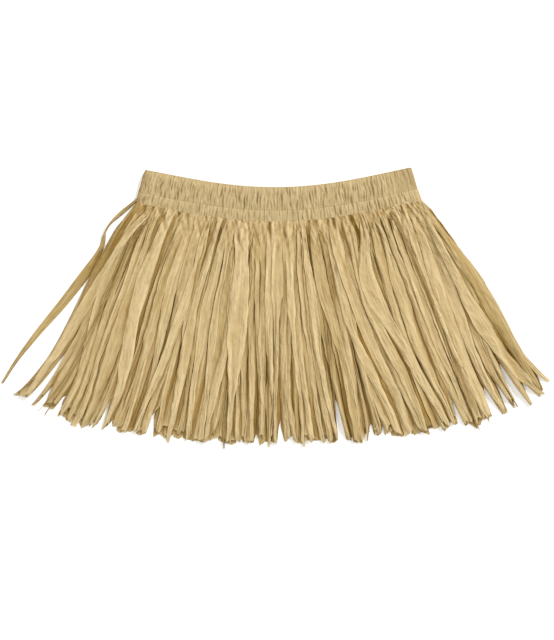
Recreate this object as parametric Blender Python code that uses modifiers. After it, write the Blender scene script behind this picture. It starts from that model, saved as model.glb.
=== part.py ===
"""A grass skirt laid flat on a table: an elastic waistband casing, the gathered
header below it, and four layers of cloth slit into strips, two behind and two in
front, with a few loose strips thrown across the top.

+X runs to the right along the waist, +Y from the hem towards the waist, +Z up off
the table. The origin is in the middle of the skirt, on the table. Units are metres.
"""

import math
import random

import bmesh
import bpy

MM = 0.001

# The waist: the casing and header lie along circles round one centre above the skirt,
# so the waist edge dips in the middle and the seams below it are a little longer.
WAIST_WIDTH = 292 * MM  # chord of the waist edge, laid flat
WAIST_RADIUS = 535 * MM
WAIST_MIDDLE_X, WAIST_MIDDLE_Y = 2.5 * MM, 135 * MM
WAIST_CENTRE_Y = WAIST_MIDDLE_Y + WAIST_RADIUS
WAIST_HALF_ANGLE = math.asin(WAIST_WIDTH / 2 / WAIST_RADIUS)
WAIST_SLANT = 1.4 * MM  # how much higher its right end lies, and its left end lower
WAIST_STRAIGHTENED = 1.6 * MM  # how far its flanks lie above the circle
CASING_HEIGHT = 26 * MM
HEADER_HEIGHT = 12 * MM
SEAM_GAP = 0.3 * MM

# The gathered cloth of the casing and header.
GATHERS = 58  # across the front
GATHER_SHIFT = 0.3  # how far a fold may stray from its even place, in steps
GATHER_FULLNESS = 0.45, 1.0
WALL = 1.2 * MM
BACK_STEPS = 20  # stretches that follow the curve of the flat underside
FOLD_ANGLES = (45, 0, -45)  # where the cloth turns over at each side, in degrees

# Down each wall: how far below its upper edge, the height of the folds' troughs
# off the table, and how far the crests stand above them.
CASING_ROWS = (  # (below, trough, crest)
    (0 * MM, 4.0 * MM, 0.4 * MM),
    (3 * MM, 5.6 * MM, 0.9 * MM),
    (13 * MM, 6.0 * MM, 1.4 * MM),
    (CASING_HEIGHT, 5.2 * MM, 0.5 * MM),
)
HEADER_ROWS = (  # (below, trough, crest)
    (0 * MM, 5.2 * MM, 0.5 * MM),
    (6 * MM, 5.6 * MM, 1.3 * MM),
    (HEADER_HEIGHT, 5.5 * MM, 0.6 * MM),
)

# The slit cloth. Every layer hangs from a narrow uncut strip under the header.
BACKING_HEIGHT = 4 * MM
STRIP_THICKNESS = 1.0 * MM
BACKING_RADIUS = WAIST_RADIUS + CASING_HEIGHT + HEADER_HEIGHT + 2 * SEAM_GAP
ROOT_RADIUS = BACKING_RADIUS + BACKING_HEIGHT
HEM = (  # (x, y) along the tips
    (-289 * MM, -96 * MM),
    (-255 * MM, -110 * MM),
    (-216 * MM, -128 * MM),
    (-150 * MM, -139 * MM),
    (-50 * MM, -149 * MM),
    (50 * MM, -149 * MM),
    (150 * MM, -138 * MM),
    (220 * MM, -128 * MM),
    (262 * MM, -110 * MM),
    (286 * MM, -101 * MM),
    (296 * MM, -84 * MM),
)
LEFT_BEND = math.radians(8), math.radians(17)  # how far the outermost strips turn out
RIGHT_BEND = math.radians(20), math.radians(9)  # of their line, at the root and the hem
SLIT_OPENS = 28 * MM  # below the root, where a slit reaches its full width
LAYER_RISE = 85 * MM  # below the root, where the layers reach their full height
TIP_CURL = 0.5 * MM  # how far the ends of the lowest strips stand off the table

LAYERS = (  # (name, strips, stretches, root height, body height, lift of one edge)
    ("fringe_back_outer", 48, 5, 0.00 * MM, 0.0 * MM, 0.0 * MM),
    ("fringe_back_inner", 51, 4, 1.35 * MM, 2.3 * MM, 0.4 * MM),
    ("fringe_front_inner", 49, 4, 2.70 * MM, 4.5 * MM, 0.4 * MM),
    ("fringe_front_outer", 52, 6, 4.05 * MM, 7.2 * MM, 0.9 * MM),
)

# Places where the strips part at the hem and the table shows through.
PARTINGS = (  # (x at the hem, half opening, share of the strip's length that opens)
    (-270 * MM, 3.0 * MM, 0.26),
    (-252 * MM, 2.0 * MM, 0.12),
    (-232 * MM, 2.0 * MM, 0.10),
    (-139 * MM, 3.5 * MM, 0.10),
    (4 * MM, 2.5 * MM, 0.07),
    (76 * MM, 5.0 * MM, 0.20),
    (206 * MM, 2.5 * MM, 0.12),
    (251 * MM, 3.5 * MM, 0.15),
    (272 * MM, 3.0 * MM, 0.22),
    (288 * MM, 1.5 * MM, 0.12),
)
PARTING_REACH = 45 * MM

# How the strips of a layer differ from each other.
LENGTH_SHARES = 0.955, 1.02
GAP_SHARES = 0.19, 0.30  # of each strip's room, left free beside it
SLIT_SHIFT = 0.22  # how far a slit may stray from its even place, in strips
LIFT_SHARES = 0.4, 1.0  # of a layer's lift, by which one edge of a strip stands higher
TIP_SKEW = 2.5 * MM  # the tips are cut aslant
SWAY = 1.2 * MM  # neighbours bend the same way, in waves across the skirt
SWAYS = 5

# Strips that lie across the others: where they leave the waist and end at the hem,
# as shares of the way from left to right, and how long and wide they are.
CROSSING_STRIPS = (  # (root, tip, length share, width)
    (0.075, 0.048, 0.97, 7.0 * MM),
    (0.150, 0.118, 1.00, 8.0 * MM),
    (0.235, 0.185, 0.98, 9.5 * MM),
    (0.305, 0.235, 0.97, 9.0 * MM),
    (0.350, 0.320, 1.01, 8.0 * MM),
    (0.410, 0.425, 0.99, 10.5 * MM),
    (0.480, 0.470, 1.00, 8.0 * MM),
    (0.555, 0.580, 0.98, 8.5 * MM),
    (0.620, 0.650, 1.00, 9.5 * MM),
    (0.700, 0.745, 0.98, 9.0 * MM),
    (0.780, 0.812, 1.00, 8.0 * MM),
    (0.850, 0.882, 0.97, 10.0 * MM),
    (0.930, 0.974, 0.99, 7.0 * MM),
)
CROSSING_ROOT_WIDTH = 5.0 * MM
CROSSING_STRETCHES = 6
CROSSING_ROOT_HEIGHT = 5.4 * MM
CROSSING_BODY_HEIGHT = 9.6 * MM
AHEAD = 0.01  # share of a strip's length, over which its heading is taken

# One long strip at the left end has slipped out and lies in a loose curve on the table.
STRAY_STRIP = (  # (x, y, width) down its middle
    (-169.0 * MM, 110.5 * MM, 4.0 * MM),
    (-182.0 * MM, 99.5 * MM, 4.0 * MM),
    (-190.0 * MM, 87.0 * MM, 3.6 * MM),
    (-191.5 * MM, 72.0 * MM, 4.6 * MM),
    (-209.5 * MM, 39.5 * MM, 11.5 * MM),
    (-235.0 * MM, 6.5 * MM, 10.0 * MM),
    (-264.5 * MM, -28.0 * MM, 8.0 * MM),
    (-286.0 * MM, -56.0 * MM, 4.6 * MM),
    (-301.0 * MM, -80.5 * MM, 3.4 * MM),
)

STRAW = (0.68, 0.51, 0.25)
CASING_SEED, HEADER_SEED, FIRST_LAYER_SEED = 3, 5, 11


def smooth(share):
    """A share from 0 to 1, eased in and out."""
    share = min(1.0, max(0.0, share))
    return share * share * (3 - 2 * share)


def mix(a, b, share):
    return a + (b - a) * share


def on_waist(radius, along, height):
    """A point on a line round the waist's centre: along is the arc from the middle."""
    angle = along / radius
    share = angle / WAIST_HALF_ANGLE
    shift = WAIST_SLANT * share + WAIST_STRAIGHTENED * 4 * (share**2 - share**4)
    return (
        WAIST_MIDDLE_X + radius * math.sin(angle),
        WAIST_CENTRE_Y - radius * math.cos(angle) + shift,
        height,
    )


def cloth_material(name, colour):
    material = bpy.data.materials.new(name)
    material.use_nodes = True
    shader = material.node_tree.nodes["Principled BSDF"]
    shader.inputs["Base Color"].default_value = (*colour, 1)
    shader.inputs["Roughness"].default_value = 0.8
    shader.inputs["Metallic"].default_value = 0
    return material


def new_object(name, bm, collection, material):
    mesh = bpy.data.meshes.new(name)
    bm.to_mesh(mesh)
    bm.free()
    mesh.materials.append(material)
    obj = bpy.data.objects.new(name, mesh)
    collection.objects.link(obj)
    return obj


# ---------------------------------------------------------------- casing and header


def gather_pattern(seed):
    """Where each fold of the front sits, as a share of the width, and how full it is."""
    draw = random.Random(seed)
    steps = 2 * GATHERS
    places = [
        (k + (draw.uniform(-GATHER_SHIFT, GATHER_SHIFT) if 0 < k < steps else 0)) / steps
        for k in range(steps + 1)
    ]
    fullness = [draw.uniform(*GATHER_FULLNESS) if k % 2 else 0.0 for k in range(steps + 1)]
    return places, fullness


def flat_ring(radius, height, crest, inset, pattern):
    """The flattened tube's section at one radius, from the front's left end round to
    the back and home again. inset is the wall for the inner face, and 0 outside."""
    places, fullness = pattern
    turn = height / 2
    reach = radius * WAIST_HALF_ANGLE - turn  # arc from the middle to a side's fold
    round_it = turn - inset
    ring = [
        on_waist(radius, mix(-reach, reach, place), height - inset + crest * full)
        for place, full in zip(places, fullness)
    ]

    def fold(side, angles):
        return [
            on_waist(
                radius,
                side * (reach + round_it * math.cos(math.radians(angle))),
                turn + round_it * math.sin(math.radians(angle)),
            )
            for angle in angles
        ]

    ring += fold(1, FOLD_ANGLES)
    ring += [
        on_waist(radius, mix(reach, -reach, k / BACK_STEPS), inset)
        for k in range(BACK_STEPS + 1)
    ]
    return ring + fold(-1, reversed(FOLD_ANGLES))


def gathered_tube(name, upper_radius, rows, seed, collection, material):
    """A flattened, gathered tube of cloth, open at both edges: gathers stand up from
    the outside of the front, and the inside and the underside are plain."""
    pattern = gather_pattern(seed)
    rings = [
        flat_ring(upper_radius + below, trough, crest, 0, pattern)
        for below, trough, crest in rows
    ]
    for below, trough, _ in (rows[-1], rows[0]):
        rings.append(flat_ring(upper_radius + below, trough, 0, WALL, pattern))
    bm = bmesh.new()
    loops = [[bm.verts.new(point) for point in ring] for ring in rings]
    for upper, lower in zip(loops, loops[1:] + loops[:1]):
        for k in range(len(upper)):
            bm.faces.new((upper[k - 1], upper[k], lower[k], lower[k - 1]))
    bmesh.ops.recalc_face_normals(bm, faces=bm.faces)
    return new_object(name, bm, collection, material)


# ------------------------------------------------------------------------ the strips


def hem_point(share):
    """The place on the hem at a share of the way from its left end to its right."""
    x = mix(HEM[0][0], HEM[-1][0], share)
    for (left, left_y), (right, right_y) in zip(HEM, HEM[1:]):
        if x <= right:
            break
    return x, mix(left_y, right_y, (x - left) / (right - left))


def down(point, angle, distance):
    """The point that far away, at an angle from straight down towards +X."""
    return (
        point[0] + distance * math.sin(angle),
        point[1] - distance * math.cos(angle),
    )


def strip_line(root_share, tip_share, along):
    """The middle of a strip, or its edge, at a share of its length: a cubic curve
    that bends out of its straight line the more, the nearer it is to the sides."""
    side = root_share + tip_share - 1  # -1 at the left edge of the skirt, 1 at the right
    root = on_waist(ROOT_RADIUS, ROOT_RADIUS * WAIST_HALF_ANGLE * (2 * root_share - 1), 0)[:2]
    tip = hem_point(tip_share)
    lean = math.atan2(tip[0] - root[0], root[1] - tip[1])
    root_bend, hem_bend = (side * abs(side) * bend for bend in (LEFT_BEND, RIGHT_BEND)[side > 0])
    third = math.dist(root, tip) / 3
    knots = root, down(root, lean + root_bend, third), down(tip, lean + hem_bend, -third), tip
    back = 1 - along
    weights = (back**3, 3 * back**2 * along, 3 * back * along**2, along**3)
    return tuple(sum(w * knot[axis] for w, knot in zip(weights, knots)) for axis in (0, 1))


def parted(strip_x, edge_x, along):
    """How far sideways the partings push the edge of a strip, both measured by where
    they end on the hem. Both edges of one strip go the same way."""
    push = 0.0
    for middle, half_opening, opens in PARTINGS:
        opened = smooth((along - 1 + opens) / opens)
        fade = math.exp(-abs(edge_x - middle) / PARTING_REACH)
        push += math.copysign(half_opening, strip_x - middle) * opened * fade
    return push


def layer_height(root_height, body_height, below_root):
    return mix(root_height, body_height, min(1, below_root / LAYER_RISE))


def distances_down(length, stretches):
    """How far below its root a strip's rows are. Every strip has a row where its slits
    are open and one where its layer is at full height, so stacked layers stay clear."""
    rest = stretches - 2
    return [SLIT_OPENS, LAYER_RISE] + [
        mix(LAYER_RISE, length, k / rest) for k in range(1, rest + 1)
    ]


def backing_strip(bm, edges, height):
    """The uncut strip above the slits. Returns the verts along its upper and lower
    edges, one for each place in edges, which run from -1 to 1 across the waist."""
    upper, lower = (
        [
            bm.verts.new(on_waist(radius, radius * WAIST_HALF_ANGLE * edge, height))
            for edge in edges
        ]
        for radius in (BACKING_RADIUS, ROOT_RADIUS)
    )
    for k in range(len(edges) - 1):
        bm.faces.new((upper[k], lower[k], lower[k + 1], upper[k + 1]))
    return upper, lower


def hang_strip(bm, left, right, rows):
    """Extends a strip down from its two root verts through rows of (left, right)."""
    for left_point, right_point in rows:
        next_left, next_right = bm.verts.new(left_point), bm.verts.new(right_point)
        bm.faces.new((left, next_left, next_right, right))
        left, right = next_left, next_right


def fringe(name, bm, collection, material):
    """The object of a slit layer, with its thickness upwards from the underside."""
    obj = new_object(name, bm, collection, material)
    wall = obj.modifiers.new("cloth thickness", "SOLIDIFY")
    wall.thickness = STRIP_THICKNESS
    wall.offset = 1


def edge_points(point, onward, width, height):
    """The two edges of a strip at a point of its middle line: the one on the right of
    the way it runs, then the one on the left."""
    length = math.hypot(*onward)
    across = (-onward[1] / length, onward[0] / length)
    return [
        (
            point[0] + side * across[0] * width / 2,
            point[1] + side * across[1] * width / 2,
            height,
        )
        for side in (-1, 1)
    ]


def stray_rows():
    """The rows of the strip that lies loose on the table."""
    rows = []
    for k, (x, y, width) in enumerate(STRAY_STRIP):
        before = STRAY_STRIP[max(k - 1, 0)]
        after = STRAY_STRIP[min(k + 1, len(STRAY_STRIP) - 1)]
        height = TIP_CURL if k == len(STRAY_STRIP) - 1 else 0
        rows.append(edge_points((x, y), (after[0] - before[0], after[1] - before[1]), width, height))
    return rows


def slit_places(strips, draw):
    """Where a layer is slit, as shares of its width. At each parting of the hem every
    layer has a slit, so that the table shows through."""
    shares = [
        (k + (draw.uniform(-SLIT_SHIFT, SLIT_SHIFT) if 0 < k < strips else 0)) / strips
        for k in range(strips + 1)
    ]
    for x, *_ in PARTINGS:
        parting = (x - HEM[0][0]) / (HEM[-1][0] - HEM[0][0])
        nearest = min(range(1, strips), key=lambda k: abs(shares[k] - parting))
        shares[nearest] = parting
    return shares


def slit_layer(strips, stretches, root_height, body_height, lift, seed):
    """One layer of cloth, slit from the hem up to its narrow backing strip. The strips
    fan out side by side, and each leaves part of its room free, so none touch."""
    draw = random.Random(seed)
    shares = slit_places(strips, draw)
    bm = bmesh.new()
    upper, roots = backing_strip(bm, [2 * share - 1 for share in shares], root_height)
    on_table = body_height == 0
    if on_table:
        hang_strip(bm, upper[0], roots[0], stray_rows())
    for k in range(strips):
        strip_share = (shares[k] + shares[k + 1]) / 2
        strip_x = hem_point(strip_share)[0]
        full_length = math.dist(strip_line(strip_share, strip_share, 0), hem_point(strip_share))
        length = full_length * draw.uniform(*LENGTH_SHARES)
        gap_share = draw.uniform(*GAP_SHARES)
        skew = draw.uniform(-TIP_SKEW, TIP_SKEW)
        high_edge = draw.choice((-1, 1)) * draw.uniform(*LIFT_SHARES)
        rows = []
        for row, below in enumerate(distances_down(length, stretches), start=1):
            at_tip = row == stretches
            pair = []
            for side, slit in ((-1, shares[k]), (1, shares[k + 1])):
                edge = mix(slit, strip_share, gap_share)
                along = (below + (side * skew if at_tip else 0)) / full_length
                x, y = strip_line(edge, edge, along)
                x += parted(strip_x, hem_point(edge)[0], along)
                x += SWAY * math.sin(math.tau * SWAYS * edge + seed) * math.sin(math.pi * along)
                z = layer_height(root_height, body_height, below)
                z += lift * high_edge * side * min(1, below / LAYER_RISE)
                if at_tip and on_table:
                    z += TIP_CURL
                pair.append((x, y, z))
            rows.append(pair)
        hang_strip(bm, roots[k], roots[k + 1], rows)
    return bm


def crossing_layer():
    """The loose strips on top: each runs from the top backing strip at its own slant."""
    width_share = CROSSING_ROOT_WIDTH / (2 * ROOT_RADIUS * WAIST_HALF_ANGLE)
    edges = [-1.0]
    for root, *_ in CROSSING_STRIPS:
        edges += [2 * root - 1 - width_share, 2 * root - 1 + width_share]
    edges.append(1.0)
    bm = bmesh.new()
    _, roots = backing_strip(bm, edges, CROSSING_ROOT_HEIGHT)
    for k, (root, tip, length_share, width) in enumerate(CROSSING_STRIPS):
        full_length = math.dist(strip_line(root, tip, 0), hem_point(tip))
        rows = []
        for below in distances_down(length_share * full_length, CROSSING_STRETCHES):
            along = below / full_length
            x, y = strip_line(root, tip, along)
            next_x, next_y = strip_line(root, tip, along + AHEAD)
            rows.append(
                edge_points(
                    (x + parted(hem_point(tip)[0], hem_point(tip)[0], along), y),
                    (next_x - x, next_y - y),
                    mix(CROSSING_ROOT_WIDTH, width, min(1, below / LAYER_RISE)),
                    layer_height(CROSSING_ROOT_HEIGHT, CROSSING_BODY_HEIGHT, below),
                )
            )
        hang_strip(bm, roots[2 * k + 1], roots[2 * k + 2], rows)
    return bm


def main():
    for obj in list(bpy.data.objects):
        bpy.data.objects.remove(obj)
    skirt = bpy.data.collections.new("grass_skirt")
    bpy.context.scene.collection.children.link(skirt)
    casing_cloth = cloth_material("casing_cloth", STRAW)
    strip_cloth = cloth_material("strip_cloth", STRAW)
    header_radius = WAIST_RADIUS + CASING_HEIGHT + SEAM_GAP
    gathered_tube("waistband_casing", WAIST_RADIUS, CASING_ROWS, CASING_SEED, skirt, casing_cloth)
    gathered_tube("gathered_header", header_radius, HEADER_ROWS, HEADER_SEED, skirt, casing_cloth)
    for seed, (name, *layer) in enumerate(LAYERS, start=FIRST_LAYER_SEED):
        fringe(name, slit_layer(*layer, seed), skirt, strip_cloth)
    fringe("fringe_crossing", crossing_layer(), skirt, strip_cloth)


main()
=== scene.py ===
"""The looks of a grass skirt laid flat: gathered waistband, header, and layers of cloth
slit into long crumpled strips, on a pale table under soft light. Units are metres."""

import math
import random

import bpy
import numpy as np
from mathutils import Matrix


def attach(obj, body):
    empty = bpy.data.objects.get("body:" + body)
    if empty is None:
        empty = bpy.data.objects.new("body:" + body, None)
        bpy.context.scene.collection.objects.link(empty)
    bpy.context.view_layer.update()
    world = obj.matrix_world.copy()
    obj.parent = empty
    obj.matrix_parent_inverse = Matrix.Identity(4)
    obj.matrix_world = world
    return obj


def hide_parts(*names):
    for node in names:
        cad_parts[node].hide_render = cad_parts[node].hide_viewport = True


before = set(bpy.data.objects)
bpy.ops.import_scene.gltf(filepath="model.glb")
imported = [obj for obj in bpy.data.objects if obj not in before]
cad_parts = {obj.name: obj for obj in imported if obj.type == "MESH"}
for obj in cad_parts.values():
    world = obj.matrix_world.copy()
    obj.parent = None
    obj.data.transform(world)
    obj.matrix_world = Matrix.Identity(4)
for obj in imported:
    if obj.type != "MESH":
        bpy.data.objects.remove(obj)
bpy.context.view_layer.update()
MM = 0.001

# ----------
# Waistband casing. A band of thin straw-coloured nonwoven cloth is folded over 25 mm
# elastic and sewn shut along its lower edge. The relaxed elastic draws it into small
# upright gathers all round, fullest half way up.
WAIST_RADIUS = 535 * MM
WAIST_HALF_WIDTH = 146 * MM
WAIST_HALF_ANGLE = math.asin(WAIST_HALF_WIDTH / WAIST_RADIUS)
WAIST_MIDDLE_X, WAIST_MIDDLE_Y = 2.5 * MM, 135 * MM
WAIST_CENTRE_Y = WAIST_MIDDLE_Y + WAIST_RADIUS
WAIST_SLANT = 1.4 * MM  # how much higher its right end lies, and its left end lower
WAIST_STRAIGHTENED = 1.6 * MM  # how far its flanks lie above the circle
CASING_HEIGHT = 26 * MM
BAND_WALL = 1.2 * MM
GATHERS_ROUND = 126
GATHERS_SEED = 3
STEPS_PER_GATHER = 9
ROW_STEP = 1.6 * MM  # between the mesh's rows down the outside
INSIDE_EVERY = 4  # the plain inside has one row for this many outside
FOLD_STEPS = 8  # round the cloth's turn at each side
RIM, NEXT_TO_RIM = 0.15 * MM, 0.6 * MM  # rows at its rounded edges, this far from them,
RIM_INSET, EDGE_INSET = 0.2 * BAND_WALL, 0.5 * BAND_WALL  # and how far in they lie
FULLEST = 1.3  # the highest gathers, in shares of a common one
BACK_FULLNESS = 0.45  # the gathers underneath are pressed by the skirt's weight
SIDE_FULLNESS = 0.6  # those at the side folds
IRONED_AT, IRONED_REACH = 0.49, 0.045  # where its right end is flat, in shares of its round
FOLD_WIDTHS = (0.6, 0.75, 0.95, 1.2)  # of its trains of folds, in shares of a common gather
FOLD_LEAN = (-100, 190)  # from the least to the most, in radians for each metre down
FOLD_BEND, BEND_LENGTH = 0.9, 20 * MM  # how far folds bend to and fro, and on what height
FOLD_SWAY = 1.4  # how unevenly they follow each other, in radians
FOLD_SHAPE = 0.6  # below 1, a fold is fuller than a sine wave
COMMON_FOLD = 0.6  # a train of folds' height, on average
WAVE_SLANT = 90  # radians for each metre down, at the most
TROUGH_SHADE = 0.35  # how much painted shade darkens a trough
SIDE_SHADE, SIDE_REACH = 0.5, 3 * MM  # how much painted shade darkens its left end, and how far it reaches
# how far the painted shade along its upper edge reaches
RIM_REACH = 0.7 * MM
CASING_ROWS = (  # (below the waist edge, height of the troughs, of the gathers) in mm
    (0, 4.2, 0.6), (1.5, 5, 1.4), (5, 5.2, 2.9), (13, 5.3, 3.3), (21, 5.2, 2.9),
    (24.5, 5.2, 2), (26, 5.1, 1.9),
)


def on_waist(radius, along):
    """x and y on a circle round the waist's centre, at an arc from the middle."""
    share = along / (radius * WAIST_HALF_ANGLE)
    shift = WAIST_SLANT * share + WAIST_STRAIGHTENED * 4 * (share**2 - share**4)
    x = WAIST_MIDDLE_X + radius * np.sin(along / radius)
    return x, WAIST_CENTRE_Y - radius * np.cos(along / radius) + shift


def waves(across, down, slowest, fastest, count, draw):
    """Smooth irregular waves about 0, of the size of one sine. They repeat where
    across goes up by 1, and drift sideways with the distance down."""
    total = 0
    for _ in range(count):
        turns = draw.randint(slowest, fastest)
        phase = draw.uniform(0, math.tau) + draw.uniform(-WAVE_SLANT, WAVE_SLANT) * down
        total = total + np.sin(math.tau * turns * across + phase)
    return total / math.sqrt(count)


def gathers(across, down, folds, seed):
    """The height of gathered cloth, 0 in its troughs and up to about 1 on its crests: a
    few trains of folds of different widths, that lean and come and go."""
    draw = random.Random(seed)
    bend_start = 3 * waves(across, 0, folds // 12, folds // 4, 4, draw)
    bend = FOLD_BEND * np.sin(down * math.tau / BEND_LENGTH + bend_start)
    total = 0
    for width in FOLD_WIDTHS:
        turns = round(folds / width)
        lean = draw.uniform(*FOLD_LEAN) * down + bend + draw.uniform(0, math.tau)
        sway = FOLD_SWAY * waves(across, 2.5 * down, folds // 8, folds // 2, 6, draw)
        crest = (0.5 + 0.5 * np.sin(math.tau * turns * across + lean + sway)) ** FOLD_SHAPE
        here = 0.55 + 0.6 * waves(across, 4 * down, folds // 5, folds // 2, 5, draw)
        total = total + (crest - COMMON_FOLD) * np.clip(here, 0, 1) * width**0.5
    return np.clip(0.55 + 0.55 * total, 0, FULLEST)


def grid_cloth(points, uv, round_rows=False, round_columns=False):
    """Faces between the points of a grid, row by row, and the UVs of their corners.
    uv has one more row or column than points where the grid closes on itself."""
    rows, columns = points.shape[:2]
    index = np.arange(rows * columns).reshape(rows, columns)
    if round_rows:
        index = np.vstack((index, index[:1]))
    if round_columns:
        index = np.hstack((index, index[:, :1]))
    corners = np.s_[:-1, :-1], np.s_[1:, :-1], np.s_[1:, 1:], np.s_[:-1, 1:]
    faces = np.stack([index[corner] for corner in corners], -1).reshape(-1, 4)
    corner_uv = np.stack([uv[corner] for corner in corners], -2).reshape(-1, 2)
    return points.reshape(-1, 3), faces, corner_uv


def store_on_points(mesh, name, values):
    mesh.attributes.new(name, "FLOAT", "POINT").data.foreach_set("value", values)


def cloth_object(name, grids, tones):
    """One mesh object of several grids. Each grid's tone, from 0 for the shade colour to 1 for plain
    cloth, or below 0 for painted shade that darkens it further, is stored on its points for the
    material."""
    points, faces, uv = zip(*grids)
    sizes = [len(grid) for grid in points]
    starts = np.cumsum([0, *sizes[:-1]])
    faces = np.concatenate([grid + start for grid, start in zip(faces, starts)])
    mesh = bpy.data.meshes.new(name)
    mesh.from_pydata(np.concatenate(points).tolist(), [], faces.tolist())
    mesh.uv_layers.new(name="cloth").data.foreach_set("uv", np.concatenate(uv).ravel())
    store_on_points(mesh, "tone", np.repeat(tones, sizes))
    cloth = bpy.data.objects.new(name, mesh)
    bpy.context.scene.collection.objects.link(cloth)
    bpy.ops.object.select_all(action="DESELECT")
    cloth.select_set(True)
    bpy.context.view_layer.objects.active = cloth
    return cloth


def close_and_smooth(end_sides=0):
    """Fills the chosen object's open ends of up to this many sides, turns its faces
    outwards and shades it smooth."""
    bpy.ops.object.mode_set(mode="EDIT")
    bpy.ops.mesh.select_all(action="SELECT")
    if end_sides:
        bpy.ops.mesh.fill_holes(sides=end_sides)
    bpy.ops.mesh.normals_make_consistent(inside=False)
    bpy.ops.object.mode_set(mode="OBJECT")
    bpy.ops.object.shade_smooth()


def gathered_tube(name, upper_radius, rows, rim_shade, ironed):
    """A flattened gathered tube of cloth with rounded edges, plain inside. Painted shade darkens the
    troughs between its gathers, its left end, and its upper edge as much as the rim argument asks;
    ironed says how flat its gathers are at the right end.
    Returns its object and its cloth's length all round."""
    below, troughs, crests = np.array(rows).T * MM
    height = below[-1]
    outer_rows = np.linspace(NEXT_TO_RIM, height - NEXT_TO_RIM, round(height / ROW_STEP))
    down = np.concatenate(([RIM], outer_rows, [height - RIM, height]))
    down = np.concatenate((down, down[:1:-INSIDE_EVERY], [RIM, 0]))
    inset = np.zeros(len(down))
    outside = len(outer_rows) + 2
    inset[[0, outside - 1]] = RIM_INSET
    inset[[outside, -1]] = EDGE_INSET
    inset[outside + 1 : -1] = BAND_WALL
    gathered = inset <= RIM_INSET
    trough = np.interp(down, below, troughs)[:, None]
    crest = (np.interp(down, below, crests) * gathered)[:, None]
    inset, down = inset[:, None], down[:, None]
    radius = upper_radius + down

    steps = GATHERS_ROUND // 2 * STEPS_PER_GATHER
    share = np.linspace(0, 1, steps, endpoint=False)[None]
    turn = (np.linspace(90, -90, FOLD_STEPS, endpoint=False) * math.pi / 180)[None]
    rest = BACK_FULLNESS * FULLEST * crest  # the underside's troughs stand off the table
    half = (trough - rest) / 2
    reach = radius * WAIST_HALF_ANGLE - half
    around = np.linspace(0, 1, 2 * (steps + FOLD_STEPS), endpoint=False)[None]
    lift = crest * gathers(around, radius - WAIST_RADIUS, GATHERS_ROUND, GATHERS_SEED)
    lift = lift * (1 - ironed * np.exp(-(((around - IRONED_AT) / IRONED_REACH) ** 2)))
    front, right, back, left = np.split(
        lift, (steps, steps + FOLD_STEPS, 2 * steps + FOLD_STEPS), axis=1
    )
    fold_right, fold_left = (half - inset + SIDE_FULLNESS * fold for fold in (right, left))
    middle = rest + half
    along = np.hstack([
        reach * (2 * share - 1) + 0 * front,
        reach + fold_right * np.cos(turn),
        reach * (1 - 2 * share) + 0 * back,
        -reach - fold_left * np.cos(turn),
    ])
    up = np.hstack([
        trough - inset + front,
        middle + fold_right * np.sin(turn),
        rest + inset - BACK_FULLNESS * back,
        middle - fold_left * np.sin(turn),
    ])
    x, y = on_waist(radius, along)
    points = np.stack((x, y, up), -1)
    steps_round = np.linalg.norm(np.diff(points, axis=1, append=points[:, :1]), axis=2)
    cut_width = float(steps_round[outside // 2].sum())
    u = np.linspace(0, cut_width, points.shape[1] + 1)[None] + 0 * down
    u = np.vstack((u, u[:1]))
    v = np.vstack((down, down[:1])) + 0 * u
    grid = grid_cloth(points, np.stack((u, v), -1), round_rows=True, round_columns=True)
    tube = cloth_object(name, [grid], [0.5])
    # Painted shade, stored as depth for the material's dark colour: darker in the troughs between
    # gathers, at the left end and along the upper edge, where shade falls.
    painted_band_shade = TROUGH_SHADE * (1 - lift / (0.5 * crest + 1e-9)) * (crest > 0)
    painted_band_shade = np.clip(painted_band_shade, 0, 1) + SIDE_SHADE * np.exp(-(along + reach + half) / SIDE_REACH)
    painted_band_shade = painted_band_shade + rim_shade * np.exp(-down / RIM_REACH)
    store_on_points(tube.data, "depth", np.clip(painted_band_shade, 0, 1).ravel())
    close_and_smooth()
    return tube, cut_width


def linear(hex_colour):
    """A linear RGBA colour from an sRGB hex value."""
    parts = (int(hex_colour[k : k + 2], 16) / 255 for k in (1, 3, 5))
    return (*(c / 12.92 if c <= 0.04045 else ((c + 0.055) / 1.055) ** 2.4 for c in parts), 1)


def add_node(tree, kind, inputs, **settings):
    """Adds a node: settings name its properties, and inputs gives the name or number of
    an input with its value, or with the socket that feeds it."""
    node = tree.nodes.new(kind)
    for key, value in settings.items():
        setattr(node, key, value)
    for key, source in inputs.items():
        if isinstance(source, bpy.types.NodeSocket):
            tree.links.new(source, node.inputs[key])
        else:
            node.inputs[key].default_value = source
    return node


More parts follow.
